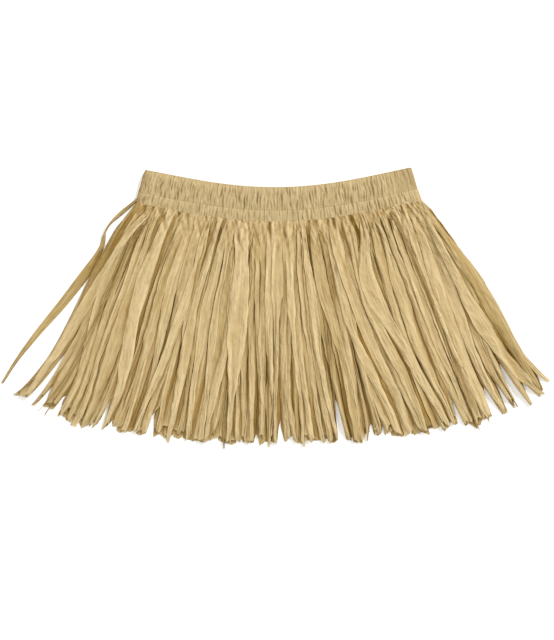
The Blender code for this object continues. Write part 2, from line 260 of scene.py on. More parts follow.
# Spunbond nonwoven, a paper-like cloth of pressed plastic fibres: matt, faintly furry,
# with fibres and soft creases that run mostly along the strips. Single fibres are too
# fine to show, so bundles of them are drawn, 0.7 or 0.8 mm wide.
def nonwoven_cloth(name, shade, plain, bright, painted_shade_colour, fibre_width, bump, crease):
    material = bpy.data.materials.new(name)
    material.use_nodes = True
    tree = material.node_tree
    tree.nodes.clear()
    cloth_uv = add_node(tree, "ShaderNodeUVMap", {}, uv_map="cloth").outputs["UV"]
    tone = add_node(tree, "ShaderNodeAttribute", {}, attribute_name="tone").outputs["Fac"]
    depth = add_node(tree, "ShaderNodeAttribute", {}, attribute_name="depth").outputs["Fac"]
    patterns = {}
    for pattern, across, along, detail in (  # the size of its cells, and its finer detail
        ("fibres", fibre_width, 14 * fibre_width, 4),
        ("streaks", 3 * MM, 60 * MM, 2),
        ("blotches", 14 * MM, 30 * MM, 2),
        ("creases", 4 * MM, 30 * MM, 1),
        ("crinkles", 4.5 * MM, 9 * MM, 1),
        ("facets", 7 * MM, 16 * MM, None),
    ):
        scale = 1 / across, 1 / along, 1
        cells = add_node(tree, "ShaderNodeMapping", {"Vector": cloth_uv, "Scale": scale})
        inputs = {"Vector": cells.outputs["Vector"], "Scale": 1}
        if pattern == "facets":
            node = add_node(tree, "ShaderNodeTexVoronoi", inputs, voronoi_dimensions="2D")
        else:
            inputs |= {"Detail": detail, "Roughness": 0.6}
            node = add_node(tree, "ShaderNodeTexNoise", inputs, noise_dimensions="2D")
        patterns[pattern] = node.outputs[0]
    colour = linear(shade)
    for value, low, high, tint in (  # the tint starts to show at low, and covers at high
        (tone, 0, 1, plain),
        (patterns["streaks"], 0.45, 1.1, bright),
        (patterns["blotches"], 0.55, 1.2, shade),
        (patterns["fibres"], 0.62, 1.1, bright),
        # The last tint is painted shade: the depth stored on the points darkens cloth towards it, in
        # place of the shade that falls in hollows.
        (depth, 0, 1, painted_shade_colour),
    ):
        limits = {"Value": value, "From Min": low, "From Max": high}
        share = add_node(tree, "ShaderNodeMapRange", limits).outputs["Result"]
        both = {0: share, 6: colour, 7: linear(tint)}
        colour = add_node(tree, "ShaderNodeMix", both, data_type="RGBA").outputs[2]
    relief = patterns["creases"]
    for share, pattern in ((0.45, "crinkles"), (0.3, "facets")):
        both = {0: share, 6: relief, 7: patterns[pattern]}
        relief = add_node(tree, "ShaderNodeMix", both, data_type="RGBA").outputs[2]
    normal = None
    for height, distance, strength in (
        (relief, crease, 1),
        (patterns["fibres"], bump, 0.7),
    ):
        inputs = {"Height": height, "Distance": distance, "Strength": strength}
        if normal:
            inputs["Normal"] = normal
        normal = add_node(tree, "ShaderNodeBump", inputs).outputs["Normal"]
    surface = add_node(
        tree, "ShaderNodeBsdfPrincipled",
        {
            "Base Color": colour, "Normal": normal,
            "Roughness": 0.85, "IOR": 1.46, "Specular IOR Level": 0.2,
            "Sheen Weight": 0.06, "Sheen Roughness": 0.5,
        },
    )
    add_node(tree, "ShaderNodeOutputMaterial", {"Surface": surface.outputs[0]})
    return material


casing, casing_cut = gathered_tube(
    "waistband_casing_cloth", WAIST_RADIUS, CASING_ROWS, rim_shade=0.5, ironed=0.8
)
casing_cloth = nonwoven_cloth(
    "gathered_nonwoven", shade="#B0996A", plain="#C5AF86", bright="#D8C79E", painted_shade_colour="#78581C",
    fibre_width=0.8 * MM, bump=0.15 * MM, crease=4.3 * MM,
)
casing.data.materials.append(casing_cloth)
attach(casing, "root")
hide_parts("waistband_casing")

# ----------
# Gathered header. The uncut top of the slit nonwoven cloth, sewn into the casing's seam
# and held by a second row of stitches below it, so that its gathers puff out in between.
HEADER_TUCK = 2.6 * MM  # up under the casing
HEADER_RADIUS = WAIST_RADIUS + CASING_HEIGHT - HEADER_TUCK
HEADER_HEIGHT = 14.9 * MM
HEADER_ROWS = (  # (below its upper edge, height of the troughs, of the gathers) in mm
    (0, 3.6, 0.8), (1.5, 4.7, 1.6), (2.6, 5.1, 1.9), (4, 5, 2.3), (8, 4.9, 2.9),
    (11.5, 4.7, 2.9), (14.9, 4.5, 2.6),
)

header, header_cut = gathered_tube(
    "gathered_header_cloth", HEADER_RADIUS, HEADER_ROWS, rim_shade=0, ironed=0
)
header.data.materials.append(casing_cloth)
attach(header, "root")
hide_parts("gathered_header")

# ----------
# Stitches. Two rows of straw-coloured polyester thread hold the gathers, one along the
# casing's lower edge and one along the header's, on the front and on the back. Each
# stitch is pulled down into the cloth at both ends.
STITCH_PITCH = 2.9 * MM
STITCH_LENGTH = 2.1 * MM
STITCH_SUNK = 0.3 * MM  # at its ends
THREAD_WIDTH = 0.5 * MM
THREAD_SIDES = 6
ROW_MARGIN = 4 * MM  # between a row's ends and the sides
STITCH_ROWS = (  # (cloth, the row's radius: a little above the cloth's lower edge)
    (casing, WAIST_RADIUS + CASING_HEIGHT - 1.6 * MM),
    (header, HEADER_RADIUS + HEADER_HEIGHT - 3.6 * MM),
)


def stitch(tube, radius, middle, side):
    """The grid of one stitch on a tube's front (side 1) or back (side -1)."""
    share = np.array((-1, -0.7, 0, 0.7, 1))
    x, y = on_waist(radius, middle + share * STITCH_LENGTH / 2)
    clear = 100 * MM * side  # well off the cloth
    surface = [tube.ray_cast((*xy, clear), (0, 0, -side))[1].z for xy in zip(x, y)]
    thickness = THREAD_WIDTH / 2 * (1.02 - share**2) ** 0.5  # narrow at its ends
    turn = np.arange(THREAD_SIDES)[None] / THREAD_SIDES * math.tau
    out = thickness[:, None] * np.cos(turn)
    up = thickness[:, None] * np.sin(turn) + side * np.array(surface)[:, None]
    up = side * (up - STITCH_SUNK * share[:, None] ** 2)
    lean = middle / radius
    x = x[:, None] + out * math.sin(lean)
    y = y[:, None] - out * math.cos(lean)
    way_round = np.arange(THREAD_SIDES + 1) / THREAD_SIDES * THREAD_WIDTH * 3
    uv = np.stack(np.meshgrid(way_round, share * STITCH_LENGTH / 2), -1)
    return grid_cloth(np.stack((x, y, up), -1), uv, round_columns=True)


stitches = []
for tube, radius in STITCH_ROWS:
    row_end = radius * WAIST_HALF_ANGLE - ROW_MARGIN
    for side in (1, -1):
        places = np.arange(-row_end, row_end, STITCH_PITCH)
        stitches += [stitch(tube, radius, float(middle), side) for middle in places]
stitches = cloth_object("stitch_rows", stitches, [0.5] * len(stitches))
close_and_smooth(THREAD_SIDES)

# Spun polyester thread of the cloth's colour: a little glossier, with a twist that makes
# slanting ribs. Real ones, 0.4 mm apart, are too fine to show, so they are drawn coarser.
RIB_SPACING = 0.98 * MM
thread = bpy.data.materials.new("spun_polyester_thread")
thread.use_nodes = True
thread_tree = thread.node_tree
thread_shader = thread_tree.nodes["Principled BSDF"]
thread_uv = add_node(thread_tree, "ShaderNodeUVMap", {}, uv_map="cloth").outputs["UV"]
rib_scale = math.tau / (10 * math.sqrt(2) * RIB_SPACING)  # 10 radians a unit, both ways
ribs = add_node(
    thread_tree, "ShaderNodeTexWave",
    {"Vector": thread_uv, "Scale": rib_scale, "Distortion": 0.5},
    bands_direction="DIAGONAL",
).outputs["Fac"]
# The grooves between the ribs are coloured darker: painted shade.
thread_colour = add_node(
    thread_tree, "ShaderNodeMix",
    {0: ribs, 6: linear("#A8925F"), 7: linear("#D2BE90")},
    data_type="RGBA",
)
thread_bump = add_node(
    thread_tree, "ShaderNodeBump", {"Height": ribs, "Distance": 0.08 * MM, "Strength": 1}
)
thread_tree.links.new(thread_colour.outputs[2], thread_shader.inputs["Base Color"])
thread_tree.links.new(thread_bump.outputs["Normal"], thread_shader.inputs["Normal"])
thread_shader.inputs["Roughness"].default_value = 0.55
stitches.data.materials.append(thread)
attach(stitches, "root")

# ----------
# The slit cloth, back outer layer. The skirt has an outer and an inner sheet of nonwoven
# cloth that go all round, slit from the hem up into strips about 10 mm wide. They lie
# pressed on each other, so every strip is laid on a height map of what is below it.
ROOT_TUCK = 2.5 * MM  # up under the header
ROOT_RADIUS = HEADER_RADIUS + HEADER_HEIGHT - ROOT_TUCK
FRONT_TURN = 0.49  # the share of the header's way round that is its front
STRIP_THICKNESS = 0.3 * MM
HEM = (  # (x, y) along the tips, in mm
    (-289, -96), (-255, -110), (-216, -128), (-150, -139), (-50, -149), (50, -149),
    (150, -138), (220, -128), (262, -110), (286, -101), (296, -84),
)
LEFT_BEND = math.radians(8), math.radians(17)  # how far the outermost strips turn out
RIGHT_BEND = math.radians(20), math.radians(9)  # of their line, at the root and the hem
NOTCHES = (  # where the hem's strips part: shares of the way (across, down) of the top,
    # and of the way across of its two sides at the hem
    (0.0275, 0.73, 0.0185, 0.034),
    (0.042, 0.89, 0.04, 0.051),
    (0.071, 0.915, 0.07, 0.0825),
    (0.154, 0.87, 0.1545, 0.1655),
    (0.247, 0.885, 0.247, 0.262),
    (0.4555, 0.95, 0.451, 0.4635),
    (0.5, 0.91, 0.496, 0.511),
    (0.616, 0.8, 0.6115, 0.6275),
    (0.68, 0.93, 0.666, 0.6805),
    (0.7005, 0.935, 0.693, 0.7005),
    (0.848, 0.87, 0.839, 0.8515),
    (0.915, 0.86, 0.9025, 0.9205),
    (0.939, 0.885, 0.93, 0.943),
    (0.963, 0.79, 0.9515, 0.9705),
    (0.9835, 0.91, 0.9755, 0.9885),
    (1, 0.95, 0.995, 1.0115),
)
RIGHT_OUTLINE = (  # (share of the way down, share of the way across) of the right edge
    (0, 0.998), (0.05, 0.99), (0.12, 0.98), (0.22, 0.98), (0.33, 0.989), (0.45, 0.999),
    (0.6, 1.006), (0.85, 1.003), (1, 1),
)
NOTCH_CURVE = 0.6  # below 1, a notch widens faster near its top
NEAR_RIGHT, RIGHT_REACH = 0.85, 0.15  # where strips are drawn in to that edge
ROOTS_WITHIN = 0.003, 0.996  # where strips may begin along the header, as shares across
CLEARANCE = 0.12 * MM  # between strips
MAP_CELL = 1 * MM
MAP_LEFT, MAP_BOTTOM = -320 * MM, -175 * MM
MAP_ROWS, MAP_COLUMNS = 330, 640
table_map = np.zeros((MAP_ROWS, MAP_COLUMNS))  # height of the uppermost cloth so far


def smooth(share):
    """From 0 to 1 with a level start and end."""
    share = np.clip(share, 0, 1)
    return share * share * (3 - 2 * share)


def hem_point(share):
    """x and y on the hem at a share of the way from left to right."""
    hem_x, hem_y = np.array(HEM).T * MM
    x = hem_x[0] + (hem_x[-1] - hem_x[0]) * share
    return x, np.interp(x, hem_x, hem_y)


def strip_line(root_share, tip_share, along):
    """x and y at a share of the length of a line that leaves the waist and ends on the
    hem at these shares of the way from left to right: a cubic curve that bends out of
    its straight line the more, the nearer it is to the sides."""
    side = root_share + tip_share - 1
    root_x, root_y = on_waist(ROOT_RADIUS, ROOT_RADIUS * WAIST_HALF_ANGLE * (2 * root_share - 1))
    tip_x, tip_y = hem_point(tip_share)
    lean = np.arctan2(tip_x - root_x, root_y - tip_y)
    bends = (np.where(side < 0, *pair) * side * abs(side) for pair in zip(LEFT_BEND, RIGHT_BEND))
    third = np.hypot(tip_x - root_x, tip_y - root_y) / 3
    root_lean, tip_lean = (lean + bend for bend in bends)
    back = 1 - along
    weights = back**3, 3 * back**2 * along, 3 * back * along**2, along**3
    xs = root_x, root_x + third * np.sin(root_lean), tip_x - third * np.sin(tip_lean), tip_x
    ys = root_y, root_y - third * np.cos(root_lean), tip_y + third * np.cos(tip_lean), tip_y
    return sum(w * x for w, x in zip(weights, xs)), sum(w * y for w, y in zip(weights, ys))


def strip_length(share):
    return math.dist(*([float(v) for v in strip_line(share, share, along)] for along in (0, 1)))


def within_outline(edge, along):
    """Shares of the way across, those near the right drawn in to the skirt's outline, and
    those near the header kept within its ends."""
    limit = np.interp(along, *np.array(RIGHT_OUTLINE).T)
    edge = edge + (limit - 1) * np.clip((edge - NEAR_RIGHT) / RIGHT_REACH, 0, 1.2)
    free = smooth((along - 0.08) / 0.1)
    return edge * free + np.clip(edge, ROOTS_WITHIN[0], limit) * (1 - free)


def notched(edge, along, draw):
    """A strip's shares of the way across, drawn in where it would close a notch, to a
    tenth of its width at the least."""
    tip = float(edge[-1].mean())
    left, right = edge[:, :1], edge[:, -1:]
    low, high = left, right
    for top_across, top_down, notch_left, notch_right in NOTCHES:
        opened = np.clip((along[:, :1] - top_down) / (1 - top_down), 0, 1) ** NOTCH_CURVE
        start = draw.uniform(0.01, 0.05)
        near = smooth((along[:, :1] - top_down + start) / start)
        if tip < (notch_left + notch_right) / 2:
            bound = top_across + (notch_left - top_across) * opened
            high = high - np.maximum(high - bound, 0) * near
        else:
            bound = top_across + (notch_right - top_across) * opened
            low = low + np.maximum(bound - low, 0) * near
    low, high = np.minimum(low, right), np.maximum(high, left)
    high = np.maximum(high, low + 0.1 * (right - left))
    return low + (edge - left) / np.maximum(right - left, 1e-6) * (high - low)


def map_places(x, y):
    return (x - MAP_LEFT) / MAP_CELL, (y - MAP_BOTTOM) / MAP_CELL


def map_height(height_map, x, y):
    """The map's height at these places, mixed from the four cells round each."""
    across, up = map_places(x, y)
    column, row = np.floor(across).astype(int), np.floor(up).astype(int)
    share, rise = across - column, up - row
    lower = height_map[row, column] * (1 - share) + height_map[row, column + 1] * share
    upper = height_map[row + 1, column] * (1 - share) + height_map[row + 1, column + 1] * share
    return lower * (1 - rise) + upper * rise


def finer(values, times):
    """A grid's values, interpolated to this many times its steps, rows then columns."""
    for axis, factor in enumerate(times):
        steps = values.shape[axis] - 1
        place = np.linspace(0, steps, steps * factor + 1)
        low = np.minimum(place.astype(int), steps - 1)
        share = place - low
        share = share[:, None] if axis == 0 else share[None]
        values = values.take(low, axis) * (1 - share) + values.take(low + 1, axis) * share
    return values


def eased(values, axes=(0, 1)):
    """Each value mixed with its neighbours along these axes; straight runs stay as they are."""
    for axis in axes:
        ends = [(1, 1) if k == axis else (0, 0) for k in range(values.ndim)]
        padded = np.pad(values, ends, "reflect", reflect_type="odd")
        count = values.shape[axis]
        before, after = (padded.take(range(k, k + count), axis) for k in (0, 2))
        values = (before + 2 * values + after) / 4
    return values


def out_of_header(below):
    """The height of uncut cloth where it comes out from under the header's lower edge."""
    header_below, troughs, _ = np.array(HEADER_ROWS).T * MM
    header_height = np.interp(below + ROOT_RADIUS - HEADER_RADIUS, header_below, troughs)
    return header_height + np.interp(below, (0, 1.5 * MM, 3 * MM), (-0.2 * MM, 0.1 * MM, 0.3 * MM))


def add_to_map(x, y, top, times):
    """Raises the map to the top of a strip, whose grid is first made so many times finer."""
    across, up = map_places(finer(x, times), finer(y, times))
    cells = np.rint(up).astype(int), np.rint(across).astype(int)
    np.maximum.at(table_map, cells, finer(top, times))


ARCH, HIGHEST_ARCH = (0.07, 0.15), 1.5 * MM  # in shares of a strip's width, and at most
TILT = 0.4 * MM, 1.1 * MM  # how much higher one edge lies, at the least and the most
CREASE_DEPTH, CREASE_REACH = (0.3 * MM, 0.9 * MM), (1.0 * MM, 2.4 * MM)
SMALL_CREASES = 0.06 * MM


def drift(along, slow, fast, draw):
    """A sine along a strip, of this many turns at the least and the most."""
    return np.sin(math.tau * draw.uniform(slow, fast) * along + draw.uniform(0, math.tau))


def crumple(across, along, width, draw):
    """The height of a strip's arch and lengthwise creases, 0 at its lowest. across runs
    from -1 to 1. Where a strip is drawn in to less than its full width, it is fuller."""
    full = width.max()
    drawn_in = 1 - width / full
    arch = np.minimum(draw.uniform(*ARCH) * full, HIGHEST_ARCH)
    arch = arch * (0.8 + 0.2 * drift(along, 0.4, 1.0, draw))
    height = arch * (1 + 0.5 * drawn_in) * (1 - abs(across) ** max(2.4, full / (4.5 * MM)))
    height = height + draw.uniform(*TILT) * across * drift(along, 0.4, 1.3, draw)
    for _ in range(2 + round(full / (4 * MM))):
        middle = draw.uniform(-0.85, 0.85) + draw.uniform(0.1, 0.4) * drift(along, 0.3, 1.1, draw)
        depth = draw.choice((0.8, -1, -1)) * draw.uniform(*CREASE_DEPTH) * (1 + 1.5 * drawn_in)
        reach = draw.uniform(*CREASE_REACH) / full * 2
        crease = np.clip(1 - abs(across - middle) / reach, 0, 1)
        crease = crease * np.clip(0.1 + drift(along, 0.8, 3.2, draw), 0, 1)
        height = height + depth * crease * (1.15 - 0.5 * along)  # flatter towards the hem
    for _ in range(5):
        slant = draw.uniform(-1.4, 1.4) * across + draw.uniform(5, 22) * along
        height = height + SMALL_CREASES * np.sin(math.tau * slant + draw.uniform(0, math.tau))
    return height - np.minimum(eased(height.min(axis=1, keepdims=True), (0,)), 0)


HEADER_ARC = 2 * ROOT_RADIUS * WAIST_HALF_ANGLE  # along the strips' upper ends
FINE_FADE, BROAD_FADE = 24 * MM, 34 * MM  # how far down the header's gathers run on
SHARP_CREASES = 120
SHARP_LENGTH, SHARP_WIDTH = (10 * MM, 48 * MM), (1.0 * MM, 2.2 * MM)


def header_folds(edge, below):
    """The header's gathers, which run on into the slit cloth, turn aslant and fade."""
    around, down = FRONT_TURN * edge, below + ROOT_RADIUS - WAIST_RADIUS
    fine = np.exp(-below / FINE_FADE) * gathers(around, down, GATHERS_ROUND, GATHERS_SEED)
    broad = smooth(below / (6 * MM)) * np.exp(-below / BROAD_FADE)
    folds = fine + 2.0 * broad * gathers(around, 1.6 * down, GATHERS_ROUND // 2, 6)
    draw = random.Random(41)
    for _ in range(SHARP_CREASES):  # they start at the stitches
        start, lean = draw.uniform(0, 1), draw.uniform(-0.4, 0.4)
        lean = lean - 0.5 * (2 * start - 1)  # less spread out than the strips
        reach, width = draw.uniform(*SHARP_LENGTH), draw.uniform(*SHARP_WIDTH)
        place = (edge - start) * HEADER_ARC - lean * below
        crease = np.clip(1 - abs(place) / width, 0, 1) * smooth(below / (5 * MM))
        folds = folds - draw.uniform(0.6, 1.5) * crease * smooth(1.2 - below / reach)
    return folds


ASLANT, RAGGED = 3.5 * MM, 0.9 * MM  # how far a strip's cut end reaches up and down
POINTED, NOTCHED = 0.45, 0.3  # the share of ends with a point, and of the others a notch


def cut_tip(across, draw):
    """How far each part of a strip's end reaches past its length: cut aslant, and
    sometimes to a point or a notch, with a ragged edge."""
    reach = draw.uniform(-ASLANT, ASLANT) * across
    if draw.random() < POINTED:
        reach = reach - draw.uniform(2, 5.5) * MM * abs(across - draw.uniform(-0.7, 0.7))
    elif draw.random() < NOTCHED:
        reach = reach + draw.uniform(3, 5) * MM * (abs(across - draw.uniform(-0.3, 0.3)) - 0.7)
    return reach + np.array([draw.uniform(-RAGGED, RAGGED) for _ in range(across.shape[-1])])


def strip_grid(x, y, z, across, width, draw):
    """A strip's grid for cloth_object, with its UVs in metres across and along."""
    steps = np.hypot(np.diff(x, axis=0), np.diff(y, axis=0))
    along = np.vstack((np.zeros((1, x.shape[1])), np.cumsum(steps, 0)))
    u = 0 * x + across * width / 2 + draw.uniform(0, 9)
    uv = np.stack((u, along + draw.uniform(0, 9)), -1)
    return grid_cloth(np.stack((x, y, z), -1), uv)


BRIDGING = 9  # the higher, the less a strip sinks between what is below it
PILED_UP, PRESSED_OVER = 4 * MM, 5 * MM  # the height from which creases are pressed
MOST_PRESSED = 0.35  # flatter, over this much more height, and to this share


def laid_strip(x, y, across, along, edge, below, free, gather, root_height, held_for, draw):
    """The grid of a strip laid on the cloth so far: limp enough to sink between what is
    below it, with its own creases above that as far as it's free, pressed flatter where it
    is piled up, and its upper end held at the header's height, with the header's folds."""
    width = np.hypot(x[:, -1:] - x[:, :1], y[:, -1:] - y[:, :1])
    creases = free * crumple(across, along, width, draw)
    folds = gather * header_folds(edge, below)
    support = map_height(table_map, x, y) + CLEARANCE
    z = support
    for _ in range(BRIDGING):
        z = np.maximum(eased(z), support)
    creases = creases * np.clip(1 - (z - PILED_UP) / PRESSED_OVER, MOST_PRESSED, 1)
    z = z + creases + folds
    held = np.exp(-((below / draw.uniform(*held_for)) ** 2.5))
    z = z * (1 - held) + (root_height + creases + folds) * held
    z = np.maximum(z, STRIP_THICKNESS)
    add_to_map(x, y, z + STRIP_THICKNESS, (6, 2))
    return strip_grid(x, y, z, across, float(width.max()), draw)


STRIP_COLUMNS, STRIP_ROWS = 8, 44  # faces across and along a strip
STRIP_PARTING = 26 * MM  # down which a slit opens
STRIP_STRAY = 0.006  # how far its lower end lies aside, as a share of the hem
STRIP_WANDER = 1.6 * MM


def slit_layer(strips, root_height, looseness, gather, uncut, held_for, narrowest, shorter, seed):
    """The grids of one layer of slit cloth. looseness says how far its strips stray and
    crumple, gather how high its gathers are at the header, uncut how far down the slits
    begin and held_for how far down the header holds it up, both at the least and the most,
    narrowest and shorter how narrow and how short a strip may be."""
    draw = random.Random(seed)
    slits = [
        (k + (draw.uniform(-0.3, 0.3) if 0 < k < strips else 0)) / strips
        for k in range(strips + 1)
    ]
    free_slits = set(range(1, strips))
    for *_, left, right in NOTCHES[:-1]:  # a slit lies in each notch but the last
        notch = (left + right) / 2
        nearest = min(free_slits, key=lambda k: abs(slits[k] - notch))
        slits[nearest] = notch
        free_slits.remove(nearest)
    slits.sort()
    across = np.linspace(-1, 1, STRIP_COLUMNS + 1)[None]
    rows = np.linspace(0, 1, STRIP_ROWS + 1)[:, None]
    grids = []
    for k in draw.sample(range(strips), strips):
        left, right = slits[k], slits[k + 1]
        middle = (left + right) / 2
        length = strip_length(middle)
        past = cut_tip(across, draw) * rows**10 / length  # only at its very end
        along = rows * (1 - draw.uniform(0, shorter)) + past
        below = along * length
        free = smooth((below - draw.uniform(*uncut)) / STRIP_PARTING)
        narrow = draw.choice((1, draw.uniform(0.85, 1), draw.uniform(0.5, 0.85)))
        narrow = max(narrow, narrowest)  # as a share of the space between its slits
        narrow = narrow + 0.1 * np.sin(math.tau * draw.uniform(0.5, 1.3) * along)
        narrow = 1 + (narrow - 1) * free
        shift = looseness * draw.gauss(0, STRIP_STRAY) * smooth(along)
        edge = middle + shift + (right - left) / 2 * across * narrow
        edge = notched(within_outline(edge, along), along, draw)
        x, y = strip_line(edge, edge, along)
        wander = draw.uniform(-STRIP_WANDER, STRIP_WANDER) * drift(along, 0.6, 1.2, draw)
        x = x + looseness * wander * free * smooth((0.9 - along) / 0.3)
        free = looseness * free
        grids.append(laid_strip(
            x, y, across, along, edge, below, free, gather, root_height, held_for, draw
        ))
    return grids


strip_cloth = nonwoven_cloth(
    "slit_nonwoven", shade="#AE9561", plain="#D3BC8E", bright="#EEDCB1", painted_shade_colour="#835F0E",
    fibre_width=0.7 * MM, bump=0.15 * MM, crease=3.4 * MM,
)


def finish_strips(name, grids, tones, node):
    """The object of a layer's strips: gives them their thickness, and stands for the
    layer's solid."""
    layer = cloth_object(name, grids, tones)
    thickness = layer.modifiers.new("cloth thickness", "SOLIDIFY")
    thickness.thickness = STRIP_THICKNESS
    thickness.offset = -1
    bpy.ops.object.modifier_apply(modifier=thickness.name)
    bpy.ops.object.shade_smooth_by_angle(angle=math.radians(60))
    layer.data.materials.append(strip_cloth)
    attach(layer, "root")
    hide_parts(node)
    return layer


# Tones at random between low and high. The layers underneath get lower ones: painted shade, besides
# their random tone.
def tones_of(grids, low, high, seed):
    draw = random.Random(seed)
    return [draw.uniform(low, high) for _ in grids]


STRAY_STRIP = (  # (x, y, width, height) in mm, from the header's left end to the tip
    (-153, 121, 3, 3), (-161, 114, 3.8, 2.8), (-169, 107.5, 4.8, 2.4),
    (-177, 100.5, 3.4, 1.8), (-183.5, 93, 1.7, 1.2), (-187.8, 85.5, 1.5, 0.6),
    (-189.6, 78.5, 4.7, 0.4), (-191, 70.5, 5.2, 0.3), (-197, 58.5, 7.4, 0.2),
    (-209.5, 39.5, 11.5, 0.2), (-235, 6.5, 10, 0.2), (-264.5, -28, 7, 0.2),
    (-286, -56, 3.6, 0.2), (-301, -80.5, 2.4, 0.2),
)
STRAY_TWISTED = 4.8 * MM  # its own width where it twists and stands on its edge,
TWIST_ENDS = 60 * MM  # which is all above this y
# a little painted shade
STRAY_TONE = -0.05


def stray_strip():
    """The grid of the one strip that has slipped out from under the skirt at the left."""
    draw = random.Random(31)
    stations = finer(np.array(STRAY_STRIP) * MM, (10, 1))
    for _ in range(12):
        stations = eased(stations, (0,))
    x, y, width, rise = (column[:, None] for column in stations.T)
    across = np.linspace(-1, 1, 12 + 1)[None]
    along = np.linspace(0, 1, len(x))[:, None]
    heading = np.arctan2(np.gradient(y[:, 0]), np.gradient(x[:, 0]))[:, None]
    reach = across * width / 2
    x, y = x - reach * np.sin(heading), y + reach * np.cos(heading)
    on_edge = np.sqrt(np.clip(STRAY_TWISTED**2 - width**2, 0, None)) / 2 * (y > TWIST_ENDS)
    z = rise + on_edge * (1 - across) + STRIP_THICKNESS + crumple(across, along, width, draw)
    add_to_map(x, y, z, (4, 2))
    return strip_grid(x, y, z, across, float(width.max()), draw)


back_outer = slit_layer(
    strips=46, root_height=0.2 * MM, looseness=0.4, gather=0.3 * MM, uncut=(2 * MM, 12 * MM),
    held_for=(7.2 * MM, 19.2 * MM), narrowest=1.04, shorter=0.04, seed=21,
)
back_outer.insert(0, stray_strip())
tones = [STRAY_TONE, *tones_of(back_outer[1:], 0.3, 0.8, 1)]
back_outer = finish_strips("back_outer_strips", back_outer, tones, "fringe_back_outer")

# ----------
# The slit cloth, back inner layer. The skirt's inner sheet, of the same nonwoven and sewn
# into the same seam, is slit a little more coarsely. Its back lies on the outer sheet's.
back_inner = slit_layer(
    strips=44, root_height=1.3 * MM, looseness=0.6, gather=0.4 * MM, uncut=(2 * MM, 12 * MM),
    held_for=(7.2 * MM, 19.2 * MM), narrowest=0.6, shorter=0.05, seed=22,
)
tones = tones_of(back_inner, 0.2, 0.8, 2)
back_inner = finish_strips("back_inner_strips", back_inner, tones, "fringe_back_inner")

# ----------
# The slit cloth, front inner layer. The inner sheet of nonwoven comes round to the front,
# where the header holds it up, and shows between the strips that cover it.
front_inner = slit_layer(
    strips=50, root_height=4.3 * MM, looseness=0.8, gather=1.2 * MM, uncut=(20 * MM, 60 * MM),
    held_for=(19.2 * MM, 51.2 * MM), narrowest=0.7, shorter=0.06, seed=23,
)
tones = tones_of(front_inner, 0.2, 0.8, 3)
front_inner = finish_strips("front_inner_strips", front_inner, tones, "fringe_front_inner")

